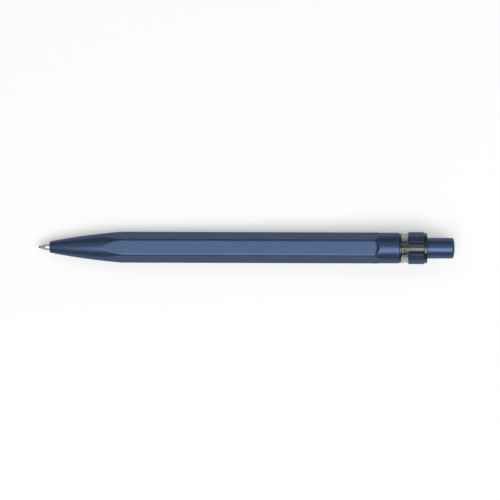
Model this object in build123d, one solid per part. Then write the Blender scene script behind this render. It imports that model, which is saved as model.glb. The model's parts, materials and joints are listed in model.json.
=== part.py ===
from build123d import *
import math
import os

# A push-button ballpoint pen with its point out. Lengths are in millimetres.
# Every piece is built round the X axis, with stations counted from the front of the ball,
# and is then set down so that the clip touches the plane z = 0 below the middle of the pen.

# Lengths along the axis, from the point to the button
POINT_REACH = 3.7
BARREL_LENGTH = 117.6
BAND_WIDTH = 3.05
CLIP_RING_WIDTH = 5.2
END_RING_THICKNESS = 1.05
BUTTON_REACH = 9.3

# Travel of the button and the refill, from where the point is out
RETRACT_TRAVEL = 4.6
PRESS_TRAVEL = 1.0

# Clearances
SEAT_GAP = 0.05
FIT_GAP = 0.05
RUNNING_GAP = 0.08
STOP_GAP = 0.15
OVERRUN = 1.0

# Barrel
ACROSS_FLATS = 9.25
CORNER_RADIUS = 0.6
NOSE_LENGTH = 24.8
NOSE_FRONT_RADIUS = 1.89
NOSE_BULGE = 0.37
NOSE_EDGE_RADIUS = 0.3
NOSE_RUNOUT = 2.0
CORNER_COVER = 0.15
ROUND_RADIUS = 5.175
ROUND_LENGTH = 6.75
SHOULDER_LENGTH = 0.9
FLAT_END_RADIUS = 4.5
CORNER_RUNOUT = 1.9
RIM_EDGE_RADIUS = 0.2
BORE_LEAD = 1.2

# Refill
BALL_RADIUS = 0.5
BALL_GAP = 0.03
SOCKET_RIM_SETBACK = 0.4
SOCKET_RIM_RADIUS = 0.55
CONE_LENGTH = 2.0
CONE_RADIUS = 1.2
TAPER_LENGTH = 1.2
POINT_RADIUS = 1.25
POINT_GAP = 0.1
INK_CHANNEL_RADIUS = 0.35
SHANK_RADIUS = 0.9
SHANK_LENGTH = 3.0
REFILL_NECK_RADIUS = 1.6
HOLDER_FLANGE = 1.0
HOLDER_SPIGOT = 3.0
TUBE_RADIUS = 2.9
TUBE_WALL = 0.6
INK_GAP = 0.02
INK_FILL_SHARE = 0.78
FOLLOWER_LENGTH = 4.0
PLUG_FLANGE = 1.0
PLUG_SPIGOT = 3.0
PLUG_BOSS_RADIUS = 2.0
VENT_RADIUS = 0.3

# Return spring
WIRE_DIAMETER = 0.4
SPRING_TURNS = 12
SPRING_INNER_GAP = 0.15
SPRING_OUTER_GAP = 0.2
SPRING_SEAT_DEPTH = 6.8
SPRING_LENGTH = 16.2
SPRING_END_GAP = 0.02

# Cam rotor, plunger and sleeve
FIN_COUNT = 4
FIN_ANGLE = 22.0
GROOVE_PLAY_ANGLE = 2.0
WALL_PLAY_ANGLE = 1.0
TOOTH_TIP_ANGLE = 2.0
RAMP_ANGLE = 40.0
REST_PLAY_ANGLE = 2.0
LATCH_GAP = 0.1
LATCH_WALL = 1.0
RAMP_LENGTH = 5.2
CAM_CORE_RADIUS = 2.05
CAM_GAP = 0.12
FIN_REACH = 0.45
FIN_LENGTH = 3.6
FIN_SETBACK = 0.5
TOOTH_HEIGHT = 0.8
TOOTH_GAP = 0.15
TOOTH_INNER_RADIUS = 1.1
ROTOR_NOSE = 1.5
ROTOR_PIN_RADIUS = 1.0
ROTOR_PIN_LENGTH = 2.5
PILOT_RADIUS = 0.9
PILOT_LENGTH = 3.5
PLUNGER_FIN_ANGLE = 20.0
PLUNGER_FIN_LENGTH = 2.2
PLUNGER_CROWN = 1.3
STEM_RADIUS = 1.6
STEM_GRIP = 8.0
SLEEVE_WALL = 0.75
SLEEVE_LEAD = 2.5

# Clear housing
SKIRT_LENGTH = 5.5
SKIRT_WALL = 0.6
SNAP_HEIGHT = 0.12
SNAP_WIDTH = 0.8
SNAP_SETBACK = 2.4
BAND_RADIUS = 5.03
BAND_GROOVE_WIDTH = 0.75
BAND_GROOVE_DEPTH = 0.18
BAND_GROOVE_SETBACK = 0.7
STEM_GUIDE = 0.6
CHAMBER_RADIUS = 3.2
NECK_WALL = 0.5
KEY_WIDTH = 3.0
KEY_GAP = 0.38
KEY_CROWN_RADIUS = 2.75
KEY_RISE = 0.85

# Rim ring
RIM_RING_WIDTH = 0.6
RIM_RING_EDGE = 0.08

# Button and end ring
BUTTON_RADIUS = 3.54
BUTTON_TOP_RADIUS = 3.49
BUTTON_EDGE_RADIUS = 0.8
DOME_HEIGHT = 0.5
BUTTON_WALL = 0.8
BOSS_WALL = 0.5
END_RING_RADIUS = 5.16
END_RING_LIP = 0.35
END_RING_EDGE = 0.2

# Clip
CLIP_RING_RADIUS = 5.42
CLIP_RING_EDGE = 0.3
CLIP_REACH = 37.4
ARM_THICKNESS = 1.3
ARM_CLEARANCE = 0.38
ARM_ROOT_WIDTH = 5.0
ARM_TIP_WIDTH = 4.0
ARM_EDGE_RADIUS = 0.35
KNUCKLE_SETBACK = 0.9
BEAD_RADIUS = 1.6
BEAD_SETBACK = 3.2
BEAD_GAP = 0.05
BEAD_EDGE_MARGIN = 0.4

# Stations along the axis that follow from these
nose_front = POINT_REACH
nose_rear = nose_front + NOSE_LENGTH
rim = nose_front + BARREL_LENGTH
round_front = rim - ROUND_LENGTH
band_front = rim + RIM_RING_WIDTH + 2 * SEAT_GAP
band_rear = rim + BAND_WIDTH
clip_front = band_rear + SEAT_GAP
clip_rear = clip_front + CLIP_RING_WIDTH
end_ring_front = clip_rear + SEAT_GAP
end_ring_rear = end_ring_front + END_RING_THICKNESS
overall_length = end_ring_rear + BUTTON_REACH

# Stations of the cam, forward from the stem's guide in the skirt
guide_rear = band_front
skirt_floor = guide_rear - STEM_GUIDE
sleeve_rear = skirt_floor - SEAT_GAP
plunger_fin_rear = skirt_floor - RETRACT_TRAVEL - STOP_GAP
plunger_fin_front = plunger_fin_rear - PLUNGER_FIN_LENGTH
plunger_front = plunger_fin_front - PLUNGER_CROWN
rotor_tooth_tip = plunger_front - TOOTH_GAP
rotor_rear = rotor_tooth_tip - TOOTH_HEIGHT
fin_rear = rotor_rear - FIN_SETBACK
fin_front = fin_rear - FIN_LENGTH
rotor_front = fin_front - ROTOR_NOSE
refill_rear = rotor_front - SEAT_GAP

# Radii of the cam, outward from its core
rib_radius = CAM_CORE_RADIUS + CAM_GAP
fin_radius = rib_radius + FIN_REACH
groove_radius = fin_radius + CAM_GAP
sleeve_radius = groove_radius + SLEEVE_WALL
bore_radius = sleeve_radius + FIT_GAP
skirt_radius = bore_radius + SKIRT_WALL
counterbore_radius = skirt_radius + FIT_GAP

# Angles of the cam, from the middle of a latch notch
period_angle = 360 / FIN_COUNT
fin_half_angle = FIN_ANGLE / 2
rib_half_angle = period_angle / 2 - fin_half_angle - GROOVE_PLAY_ANGLE
wall_angle = fin_half_angle + WALL_PLAY_ANGLE
tooth_end_angle = wall_angle + TOOTH_TIP_ANGLE
rotor_rest_angle = tooth_end_angle + fin_half_angle + REST_PLAY_ANGLE
rotor_turn_angle = period_angle / 2 - rotor_rest_angle

# Stations of the latch: the ramp that a fin rests on, its tooth, and the sleeve's front
ramp_slope = math.tan(math.radians(RAMP_ANGLE))
fin_bevel = fin_rear - ramp_slope * fin_radius * math.sin(math.radians(fin_half_angle))
latch_ramp = fin_bevel + LATCH_GAP
latch_floor = latch_ramp + ramp_slope * fin_radius * math.sin(math.radians(wall_angle))
tooth_tip = latch_floor - LATCH_WALL
rib_front = latch_ramp - ramp_slope * groove_radius * math.sin(math.radians(rib_half_angle))
sleeve_front = rib_front - SLEEVE_LEAD

# Stations of the refill and its spring
spring_seat = nose_front + SPRING_SEAT_DEPTH
neck_front = spring_seat + PRESS_TRAVEL + STOP_GAP
neck_shoulder = spring_seat + SPRING_LENGTH
bore_front = neck_shoulder - PRESS_TRAVEL - 2 * STOP_GAP
tube_front = neck_shoulder + HOLDER_FLANGE
plug_flange_rear = sleeve_front - RETRACT_TRAVEL - STOP_GAP
tube_rear = plug_flange_rear - PLUG_FLANGE
ink_front = tube_front + HOLDER_SPIGOT
plug_front = tube_rear - PLUG_SPIGOT
ink_rear = ink_front + INK_FILL_SHARE * (plug_front - ink_front)

# Radii of the refill and its spring
tube_bore = TUBE_RADIUS - TUBE_WALL
coil_radius = REFILL_NECK_RADIUS + SPRING_INNER_GAP + WIRE_DIAMETER / 2
pocket_radius = coil_radius + WIRE_DIAMETER / 2 + SPRING_OUTER_GAP
nose_hole_radius = POINT_RADIUS + POINT_GAP

# Housing, button and end ring
button_floor = band_rear
button_front = button_floor + PRESS_TRAVEL + STOP_GAP
button_bore = BUTTON_RADIUS + RUNNING_GAP
stem_bore = STEM_RADIUS + RUNNING_GAP
neck_radius = button_bore + NECK_WALL
neck_rear = end_ring_rear - END_RING_LIP - SEAT_GAP
key_top = neck_radius + KEY_RISE

# Barrel section, and the clip's place below it
apothem = ACROSS_FLATS / 2
corner_reach = (apothem - CORNER_RADIUS) / math.cos(math.pi / 6) + CORNER_RADIUS
arm_inner = max(CLIP_RING_RADIUS, ROUND_RADIUS) + ARM_CLEARANCE
arm_outer = arm_inner + ARM_THICKNESS
knuckle_radius = ARM_THICKNESS / 2
knuckle_station = clip_front + KNUCKLE_SETBACK
arm_tip = clip_front - CLIP_REACH
axis_height = arm_outer


def turned(points):
    """A solid turned about the axis from (station, radius) points, closed along the axis."""
    first = points[0][0]
    last = points[-1][0]
    outline = Polyline((first, 0), *points, (last, 0), close=True)
    return revolve(make_face(outline), Axis.X)


def rod(front, rear, radius):
    """A plain cylinder on the axis."""
    return turned([(front, radius), (rear, radius)])


def sector(front, rear, inner, outer, start, end):
    """A piece of a tube between two angles, counted from +Y towards +Z."""
    outline = Polyline((front, inner), (rear, inner), (rear, outer), (front, outer), close=True)
    return Rot(start, 0, 0) * revolve(make_face(outline), Axis.X, end - start)


def slope_cut(angle, station, slope, keep_rear):
    """A block with one sloping face through the axis at a station, to cut off a sector's end.

    The face holds the radius at the given angle and runs back by slope for each length
    round the axis. The block lies in front of it, or behind it where keep_rear is false.
    """
    side = 4 * groove_radius
    turn = math.radians(angle)
    sign = 1 if keep_rear else -1
    normal = (-sign, -sign * slope * math.sin(turn), sign * slope * math.cos(turn))
    face = Plane((station, 0, 0), x_dir=(0, math.cos(turn), math.sin(turn)), z_dir=normal)
    return extrude(face * Rectangle(side, side), side)


def around(shape, count):
    """Copies of a shape, evenly spaced round the axis."""
    return [Rot(360 / count * index, 0, 0) * shape for index in range(count)]


def barrel():
    """The hexagonal shell with its tapering nose, round rear end and stepped bore."""
    section = fillet(RegularPolygon(apothem, 6, major_radius=False).vertices(), CORNER_RADIUS)
    prism = extrude(Plane.YZ * section, rim)
    runout_rear = round_front + SHOULDER_LENGTH / 2
    front_point = Vector(nose_front, NOSE_FRONT_RADIUS)
    rear_point = Vector(nose_rear, corner_reach)
    chord = rear_point - front_point
    bulge = Vector(-chord.Y, chord.X).normalized() * NOSE_BULGE
    outline = [
        Line((nose_front, 0), front_point),
        ThreePointArc(front_point, front_point + chord / 2 + bulge, rear_point),
        Polyline(
            rear_point,
            (nose_rear + NOSE_RUNOUT, corner_reach + CORNER_COVER),
            (runout_rear - CORNER_RUNOUT, corner_reach + CORNER_COVER),
            (runout_rear, ROUND_RADIUS),
            (runout_rear, 0),
            (nose_front, 0),
        ),
    ]
    hexagon = prism & revolve(make_face(outline), Axis.X)
    front_edge = hexagon.edges().sort_by(Axis.X)[0]
    hexagon = fillet(front_edge, NOSE_EDGE_RADIUS)
    round_end = rod(round_front - SHOULDER_LENGTH - FLAT_END_RADIUS, rim, ROUND_RADIUS)
    round_end = fillet(round_end.edges().sort_by(Axis.X)[-1], RIM_EDGE_RADIUS)
    round_end -= around(flat_end(), 6)
    bore = turned(
        [
            (nose_front - OVERRUN, nose_hole_radius),
            (spring_seat, nose_hole_radius),
            (spring_seat, pocket_radius),
            (bore_front - BORE_LEAD, pocket_radius),
            (bore_front, bore_radius),
            (rim - SKIRT_LENGTH - SEAT_GAP, bore_radius),
            (rim - SKIRT_LENGTH - SEAT_GAP, counterbore_radius),
            (rim + OVERRUN, counterbore_radius),
        ]
    )
    return hexagon + round_end - bore - snap_ring(counterbore_radius, SEAT_GAP)


def flat_end():
    """A cone that cuts the top flat's rear end into the round end, curved and sloping up."""
    rise = ROUND_RADIUS - apothem
    upward = (Align.CENTER, Align.CENTER, Align.MIN)
    cone = Cone(FLAT_END_RADIUS, FLAT_END_RADIUS + 2 * SHOULDER_LENGTH, 2 * rise, align=upward)
    return Pos(round_front - SHOULDER_LENGTH - FLAT_END_RADIUS, 0, apothem) * cone


def snap_ring(radius, gap):
    """The ridge that holds the housing in the barrel, or with a gap the groove for it."""
    rear = rim - SNAP_SETBACK + gap
    front = rear - SNAP_WIDTH - 2 * gap
    top = radius + SNAP_HEIGHT
    inner = radius - SNAP_HEIGHT
    outline = Polyline(
        (front, inner),
        (rear, inner),
        (rear, radius),
        (rear - SNAP_HEIGHT, top),
        (front + SNAP_HEIGHT, top),
        (front, radius),
        close=True,
    )
    return revolve(make_face(outline), Axis.X)


def mechanism_housing():
    """The clear insert: a skirt in the barrel, a band with a groove, and a neck with a key."""
    groove_rear = band_rear - BAND_GROOVE_SETBACK
    groove_front = groove_rear - BAND_GROOVE_WIDTH
    groove_bottom = BAND_RADIUS - BAND_GROOVE_DEPTH
    body = turned(
        [
            (rim - SKIRT_LENGTH, skirt_radius),
            (band_front, skirt_radius),
            (band_front, BAND_RADIUS),
            (groove_front, BAND_RADIUS),
            (groove_front + BAND_GROOVE_DEPTH, groove_bottom),
            (groove_rear - BAND_GROOVE_DEPTH, groove_bottom),
            (groove_rear, BAND_RADIUS),
            (band_rear, BAND_RADIUS),
            (band_rear, neck_radius),
            (neck_rear, neck_radius),
        ]
    )
    crown = Pos(0, 0, key_top - KEY_CROWN_RADIUS) * rod(band_rear, clip_rear, KEY_CROWN_RADIUS)
    upward = (Align.CENTER, Align.CENTER, Align.MIN)
    width_limit = Box(2 * overall_length, KEY_WIDTH, 2 * key_top, align=upward)
    body = body + snap_ring(skirt_radius, 0) + (crown & width_limit)
    body -= rod(rim - SKIRT_LENGTH - OVERRUN, skirt_floor, bore_radius)
    body -= rod(rim, band_rear, stem_bore)
    body -= rod(guide_rear, band_rear + OVERRUN, CHAMBER_RADIUS)
    return body - rod(button_floor, neck_rear + OVERRUN, button_bore)


def rim_ring():
    """The dark ring on the skirt, between the barrel's rim and the clear band."""
    front = rim + SEAT_GAP
    rear = band_front - SEAT_GAP
    body = turned(
        [
            (front, BAND_RADIUS - RIM_RING_EDGE),
            (front + RIM_RING_EDGE, BAND_RADIUS),
            (rear - RIM_RING_EDGE, BAND_RADIUS),
            (rear, BAND_RADIUS - RIM_RING_EDGE),
        ]
    )
    return body - rod(front - OVERRUN, rear + OVERRUN, skirt_radius + FIT_GAP)


def end_ring():
    """The dark ring that closes the neck and keeps the clip on."""
    body = turned(
        [
            (end_ring_front, END_RING_RADIUS),
            (end_ring_rear - END_RING_EDGE, END_RING_RADIUS),
            (end_ring_rear, END_RING_RADIUS - END_RING_EDGE),
        ]
    )
    seat = rod(end_ring_front - OVERRUN, end_ring_rear - END_RING_LIP, neck_radius + FIT_GAP)
    return body - seat - rod(end_ring_front, end_ring_rear + OVERRUN, button_bore)


def clip_collar():
    """The split ring of the clip, with the lug that its arm hangs on."""
    ring = rod(clip_front, clip_rear, CLIP_RING_RADIUS)
    ring = fillet(ring.edges().sort_by(Axis.X)[-1], CLIP_RING_EDGE)
    lug_length = clip_rear - knuckle_station
    lug_place = Pos(knuckle_station + lug_length / 2, 0, -arm_outer / 2)
    lug = lug_place * Box(lug_length, ARM_ROOT_WIDTH, arm_outer)
    lug = fillet(lug.faces().sort_by(Axis.X)[-1].edges().sort_by(Axis.Z)[0], ARM_EDGE_RADIUS)
    body = ring + lug - rod(clip_front - OVERRUN, clip_rear + OVERRUN, neck_radius + FIT_GAP)
    body -= knuckle(knuckle_radius + FIT_GAP, ARM_ROOT_WIDTH + 2 * OVERRUN)
    slot_half = KEY_WIDTH / 2 + KEY_GAP
    flare_start = math.sqrt(CLIP_RING_RADIUS**2 - slot_half**2) - CLIP_RING_EDGE
    flare_end = flare_start + CLIP_RING_EDGE + OVERRUN
    flare_half = slot_half + CLIP_RING_EDGE + OVERRUN
    section = Polyline(
        (-slot_half, 0),
        (slot_half, 0),
        (slot_half, flare_start),
        (flare_half, flare_end),
        (-flare_half, flare_end),
        (-slot_half, flare_start),
        close=True,
    )
    slot_face = Plane.YZ.offset(clip_front - OVERRUN) * make_face(section)
    slot = extrude(slot_face, CLIP_RING_WIDTH + 2 * OVERRUN)
    return body - slot


def knuckle(radius, width):
    """A cylinder across the pen at the root of the clip's arm."""
    place = Pos(knuckle_station, 0, -arm_outer + knuckle_radius)
    return place * Rot(90, 0, 0) * Cylinder(radius, width)


def clip_arm():
    """The clip's arm: a tapering strip with a rounded tip and a bead that bears on the flat."""
    root_half = ARM_ROOT_WIDTH / 2
    tip_half = ARM_TIP_WIDTH / 2
    tip_middle = arm_tip + tip_half
    outline = [
        Polyline((tip_middle, tip_half), (knuckle_station, root_half)),
        Line((knuckle_station, root_half), (knuckle_station, -root_half)),
        Line((knuckle_station, -root_half), (tip_middle, -tip_half)),
        ThreePointArc((tip_middle, -tip_half), (arm_tip, 0), (tip_middle, tip_half)),
    ]
    strip = extrude(Plane.XY.offset(-arm_outer) * make_face(outline), ARM_THICKNESS)
    lower_edges = strip.faces().sort_by(Axis.Z)[0].edges().sort_by(Axis.X)
    strip = fillet(lower_edges[:-1], ARM_EDGE_RADIUS)
    bead_station = arm_tip + BEAD_SETBACK
    bead_top = apothem + BEAD_GAP
    bead_width = ARM_TIP_WIDTH - 2 * BEAD_EDGE_MARGIN
    bead_place = Pos(bead_station, 0, -bead_top - BEAD_RADIUS)
    bead = bead_place * Rot(90, 0, 0) * Cylinder(BEAD_RADIUS, bead_width)
    upward = (Align.CENTER, Align.CENTER, Align.MIN)
    above = Box(4 * BEAD_RADIUS, ARM_ROOT_WIDTH, arm_outer, align=upward)
    bead &= Pos(bead_station, 0, -arm_outer + knuckle_radius) * above
    return strip + bead + knuckle(knuckle_radius, ARM_ROOT_WIDTH)


def push_button():
    """The button: a domed cup with a boss that grips the plunger's stem."""
    dome_front = overall_length - DOME_HEIGHT
    dome_radius = (BUTTON_TOP_RADIUS**2 + DOME_HEIGHT**2) / (2 * DOME_HEIGHT)
    middle = BUTTON_TOP_RADIUS / 2
    middle_station = overall_length - dome_radius + math.sqrt(dome_radius**2 - middle**2)
    outline = [
        Polyline(
            (overall_length, 0),
            (button_front, 0),
            (button_front, BUTTON_RADIUS),
            (end_ring_rear, BUTTON_RADIUS),
            (dome_front, BUTTON_TOP_RADIUS),
        ),
        ThreePointArc((dome_front, BUTTON_TOP_RADIUS), (middle_station, middle), (overall_length, 0)),
    ]
    section = make_face(outline)
    dome_corner = section.vertices().sort_by_distance((dome_front, BUTTON_TOP_RADIUS))[0]
    body = revolve(fillet(dome_corner, BUTTON_EDGE_RADIUS), Axis.X)
    hollow_rear = dome_front - BUTTON_WALL
    hollow = rod(button_front - OVERRUN, hollow_rear, BUTTON_TOP_RADIUS - BUTTON_WALL)
    hollow -= rod(button_front - 2 * OVERRUN, hollow_rear + OVERRUN, STEM_RADIUS + FIT_GAP + BOSS_WALL)
    stem_hole = rod(button_front - OVERRUN, button_front + STEM_GRIP + SEAT_GAP, STEM_RADIUS + FIT_GAP)
    return body - hollow - stem_hole


def crown_teeth(station, height, sign):
    """The teeth of a cam crown, rising from a station by height towards the front or rear."""
    count = 2 * FIN_COUNT
    half_angle = 180 / count
    low, high = sorted((station, station + sign * height))
    slope = height / 2 / (CAM_CORE_RADIUS * math.sin(math.radians(half_angle)))
    tooth = sector(low, high, TOOTH_INNER_RADIUS, CAM_CORE_RADIUS, -half_angle, half_angle)
    tooth -= slope_cut(0, (low + high) / 2, slope, sign < 0)
    return around(tooth, count)


def cam_plunger():
    """The plunger: a toothed head with guide fins, and the stem that carries the button."""
    tooth_root = plunger_front + TOOTH_HEIGHT
    stem_rear = button_front + STEM_GRIP
    fin_half = PLUNGER_FIN_ANGLE / 2
    middle = period_angle / 2
    fin = sector(
        plunger_fin_front, plunger_fin_rear, STEM_RADIUS, fin_radius, middle - fin_half, middle + fin_half
    )
    body = rod(tooth_root, plunger_fin_rear, CAM_CORE_RADIUS) + rod(tooth_root, stem_rear, STEM_RADIUS)
    body = body + around(fin, FIN_COUNT) + crown_teeth(tooth_root, TOOTH_HEIGHT, -1)
    bore_rear = rotor_rear + PILOT_LENGTH + STOP_GAP
    return body - rod(plunger_front - OVERRUN, bore_rear, PILOT_RADIUS + RUNNING_GAP)


def cam_rotor():
    """The rotor: four bevelled fins, a toothed crown, a pilot for the plunger and a pivot pin."""
    start = rotor_rest_angle - fin_half_angle
    fin = sector(fin_front, fin_rear, PILOT_RADIUS, fin_radius, start, start + FIN_ANGLE)
    fin -= slope_cut(rotor_rest_angle, fin_bevel, ramp_slope, False)
    body = rod(rotor_front, rotor_rear, CAM_CORE_RADIUS)
    body += rod(rotor_front - ROTOR_PIN_LENGTH, rotor_front + ROTOR_NOSE, ROTOR_PIN_RADIUS)
    body += rod(rotor_rear - OVERRUN, rotor_rear + PILOT_LENGTH, PILOT_RADIUS)
    return body + around(fin, FIN_COUNT) + crown_teeth(rotor_rear, TOOTH_HEIGHT, 1)


def cam_sleeve():
    """The sleeve whose ribs latch the rotor: a notched ramp, then a steep one into each groove."""
    tube = rod(sleeve_front, sleeve_rear, sleeve_radius)
    tube -= rod(sleeve_front - OVERRUN, sleeve_rear + OVERRUN, groove_radius)
    root = groove_radius + SLEEVE_WALL / 2
    latch = sector(rib_front, sleeve_rear, rib_radius, root, -rib_half_angle, wall_angle)
    latch -= slope_cut(0, latch_ramp, ramp_slope, True)
    ramp_middle = (tooth_end_angle + rib_half_angle) / 2
    ramp_span = math.radians(rib_half_angle - tooth_end_angle)
    mean_radius = (rib_radius + groove_radius) / 2
    steep_slope = RAMP_LENGTH / (2 * mean_radius * math.sin(ramp_span / 2))
    guide = sector(tooth_tip, sleeve_rear, rib_radius, root, wall_angle, rib_half_angle)
    guide -= slope_cut(ramp_middle, tooth_tip + RAMP_LENGTH / 2, steep_slope, True)
    return tube + around(latch, FIN_COUNT) + around(guide, FIN_COUNT)


def writing_ball():
    """The ball, just held by the rim of its socket."""
    return Pos(BALL_RADIUS, 0, 0) * Sphere(BALL_RADIUS)


def writing_tip():
    """The metal point: socket, cone, taper, and the shank that goes into the holder."""
    cone_rear = SOCKET_RIM_SETBACK + CONE_LENGTH
    taper_rear = cone_rear + TAPER_LENGTH
    body = turned(
        [
            (SOCKET_RIM_SETBACK, SOCKET_RIM_RADIUS),
            (cone_rear, CONE_RADIUS),
            (taper_rear, POINT_RADIUS),
            (neck_front, POINT_RADIUS),
            (neck_front, SHANK_RADIUS),
            (neck_front + SHANK_LENGTH, SHANK_RADIUS),
        ]
    )
    socket = Pos(BALL_RADIUS, 0, 0) * Sphere(BALL_RADIUS + BALL_GAP)
    return body - socket - rod(BALL_RADIUS, neck_front + SHANK_LENGTH + OVERRUN, INK_CHANNEL_RADIUS)


def tip_holder():
    """The refill's neck: it holds the point in front, the tube behind, and seats the spring."""
    body = turned(
        [
            (neck_front + SEAT_GAP, REFILL_NECK_RADIUS),
            (neck_shoulder, REFILL_NECK_RADIUS),
            (neck_shoulder, TUBE_RADIUS),
            (tube_front, TUBE_RADIUS),
            (tube_front, tube_bore - INK_GAP),
            (ink_front, tube_bore - INK_GAP),
        ]
    )
    shank_hole = rod(neck_front, neck_front + SHANK_LENGTH + SEAT_GAP, SHANK_RADIUS + INK_GAP)
    return body - shank_hole - rod(neck_front, ink_front + OVERRUN, INK_CHANNEL_RADIUS)


def ink_tube():
    """The refill's tube."""
    tube = rod(tube_front + INK_GAP, tube_rear - INK_GAP, TUBE_RADIUS)
    return tube - rod(tube_front - OVERRUN, tube_rear + OVERRUN, tube_bore)


def ink_column():
    """The ink in the tube."""
    return rod(ink_front + INK_GAP, ink_rear, tube_bore - INK_GAP)


def ink_follower():
    """The grease plug behind the ink."""
    return rod(ink_rear + INK_GAP, ink_rear + FOLLOWER_LENGTH, tube_bore - INK_GAP)


def refill_plug():
    """The vented plug at the rear of the tube, with the bearing that the rotor turns in."""
    body = turned(
        [
            (plug_front, tube_bore - INK_GAP),
            (tube_rear, tube_bore - INK_GAP),
            (tube_rear, TUBE_RADIUS),
            (plug_flange_rear, TUBE_RADIUS),
            (plug_flange_rear, PLUG_BOSS_RADIUS),
            (refill_rear, PLUG_BOSS_RADIUS),
        ]
    )
    pin_front = rotor_front - ROTOR_PIN_LENGTH - STOP_GAP
    bearing = rod(pin_front, refill_rear + OVERRUN, ROTOR_PIN_RADIUS + RUNNING_GAP)
    return body - bearing - rod(plug_front - OVERRUN, refill_rear, VENT_RADIUS)


def coil_point(turn):
    """A point of the spring's centre line after a number of turns."""
    front = spring_seat + WIRE_DIAMETER / 2 + SPRING_END_GAP
    rear = neck_shoulder - WIRE_DIAMETER / 2 - SPRING_END_GAP
    angle = 2 * math.pi * turn
    station = front + (rear - front) * turn / SPRING_TURNS
    return Vector(station, coil_radius * math.cos(angle), coil_radius * math.sin(angle))


def coil_direction(turn):
    """The direction of the spring's centre line after a number of turns."""
    angle = 2 * math.pi * turn
    pitch = coil_point(1).X - coil_point(0).X
    around_axis = 2 * math.pi * coil_radius
    return Vector(pitch, -around_axis * math.sin(angle), around_axis * math.cos(angle)).normalized()


def biarc(start, start_direction, end, end_direction):
    """Two arcs that join two points and meet both directions."""
    across = end - start
    along = across.dot(start_direction + end_direction)
    bend = 1 - start_direction.dot(end_direction)
    reach = (math.sqrt(along**2 + 2 * bend * across.dot(across)) - along) / (2 * bend)
    first_handle = start + start_direction * reach
    second_handle = end - end_direction * reach
    joint = (first_handle + second_handle) / 2
    joint_direction = (second_handle - first_handle).normalized()
    return [
        Edge.make_tangent_arc(start, start_direction, joint),
        Edge.make_tangent_arc(joint, joint_direction, end),
    ]


def return_spring():
    """The return spring: one wire, swept along quarter turns."""
    steps_per_turn = 4
    edges = []
    for step in range(SPRING_TURNS * steps_per_turn):
        start = step / steps_per_turn
        end = (step + 1) / steps_per_turn
        edges += biarc(coil_point(start), coil_direction(start), coil_point(end), coil_direction(end))
    wire_section = Plane(coil_point(0), z_dir=coil_direction(0)) * Circle(WIRE_DIAMETER / 2)
    return sweep(wire_section, Wire(edges))


def least_coil_gap():
    """The least gap between turns of the spring, measured on points of its centre line."""
    samples_per_turn = 36
    points = [coil_point(step / samples_per_turn) for step in range(SPRING_TURNS * samples_per_turn + 1)]
    apart = samples_per_turn // 2
    distances = [(b - a).length for i, a in enumerate(points) for b in points[i + apart :]]
    return min(distances) - WIRE_DIAMETER


PIECES = [
    barrel,
    rim_ring,
    mechanism_housing,
    clip_collar,
    clip_arm,
    end_ring,
    push_button,
    cam_plunger,
    cam_rotor,
    cam_sleeve,
    return_spring,
    writing_ball,
    writing_tip,
    tip_holder,
    ink_tube,
    ink_column,
    ink_follower,
    refill_plug,
]

os.makedirs("parts", exist_ok=True)
set_down = Pos(-overall_length / 2, 0, axis_height)
for piece in PIECES:
    export_step(set_down * piece(), f"parts/{piece.__name__}.step")
print("overall length", round(overall_length, 3), "axis height", round(axis_height, 3))
print("least gap between the spring's turns", round(least_coil_gap(), 3))
print("rotor turns", round(rotor_turn_angle, 3), "degrees over", RETRACT_TRAVEL)
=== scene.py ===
# %% [markdown]
# # A push-button pen lying on a white table
#
# The pen is a navy hexagonal tube with a tapering nose, a smoky clear band, a split clip collar, a
# dark end ring and a round button. Its solids come from a CAD model that is already in place, in
# metres. This lesson dresses them: it turns, mills and lofts fine meshes over the coarse ones, mixes
# the plastics and metals, and sets up the table, the light and the camera of the photograph.

# %% Load the CAD frame
import json
import math

import bmesh
import bpy
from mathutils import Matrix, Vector


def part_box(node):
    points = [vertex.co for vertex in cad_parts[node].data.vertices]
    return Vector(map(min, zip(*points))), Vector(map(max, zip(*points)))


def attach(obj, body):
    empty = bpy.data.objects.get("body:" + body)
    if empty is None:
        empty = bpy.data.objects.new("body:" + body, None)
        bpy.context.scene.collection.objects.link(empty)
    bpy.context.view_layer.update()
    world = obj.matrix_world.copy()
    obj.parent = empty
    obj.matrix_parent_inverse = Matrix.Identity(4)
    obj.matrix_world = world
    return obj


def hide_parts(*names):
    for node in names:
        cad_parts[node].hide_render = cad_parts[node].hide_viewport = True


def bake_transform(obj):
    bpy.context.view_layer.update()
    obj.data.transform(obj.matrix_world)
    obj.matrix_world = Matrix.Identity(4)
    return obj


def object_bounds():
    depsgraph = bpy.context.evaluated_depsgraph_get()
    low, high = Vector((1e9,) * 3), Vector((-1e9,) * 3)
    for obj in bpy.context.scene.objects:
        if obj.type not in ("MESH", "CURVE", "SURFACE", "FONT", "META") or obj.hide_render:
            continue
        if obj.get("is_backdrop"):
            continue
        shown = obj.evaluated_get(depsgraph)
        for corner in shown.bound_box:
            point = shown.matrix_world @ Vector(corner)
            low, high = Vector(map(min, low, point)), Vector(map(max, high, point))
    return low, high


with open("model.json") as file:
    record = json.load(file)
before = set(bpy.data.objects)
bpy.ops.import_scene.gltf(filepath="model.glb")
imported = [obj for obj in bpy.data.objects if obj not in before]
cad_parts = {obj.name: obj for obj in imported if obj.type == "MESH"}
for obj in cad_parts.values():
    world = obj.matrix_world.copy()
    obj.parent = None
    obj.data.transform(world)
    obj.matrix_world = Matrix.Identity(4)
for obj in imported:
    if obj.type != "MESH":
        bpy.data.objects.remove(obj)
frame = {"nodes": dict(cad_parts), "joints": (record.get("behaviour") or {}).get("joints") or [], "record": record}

cad_low, cad_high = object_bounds()
MM = 0.001
joints = {joint["name"]: joint for joint in frame["joints"]}
mounts = {mount["name"]: mount for mount in frame["record"]["mounts"]}
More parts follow.
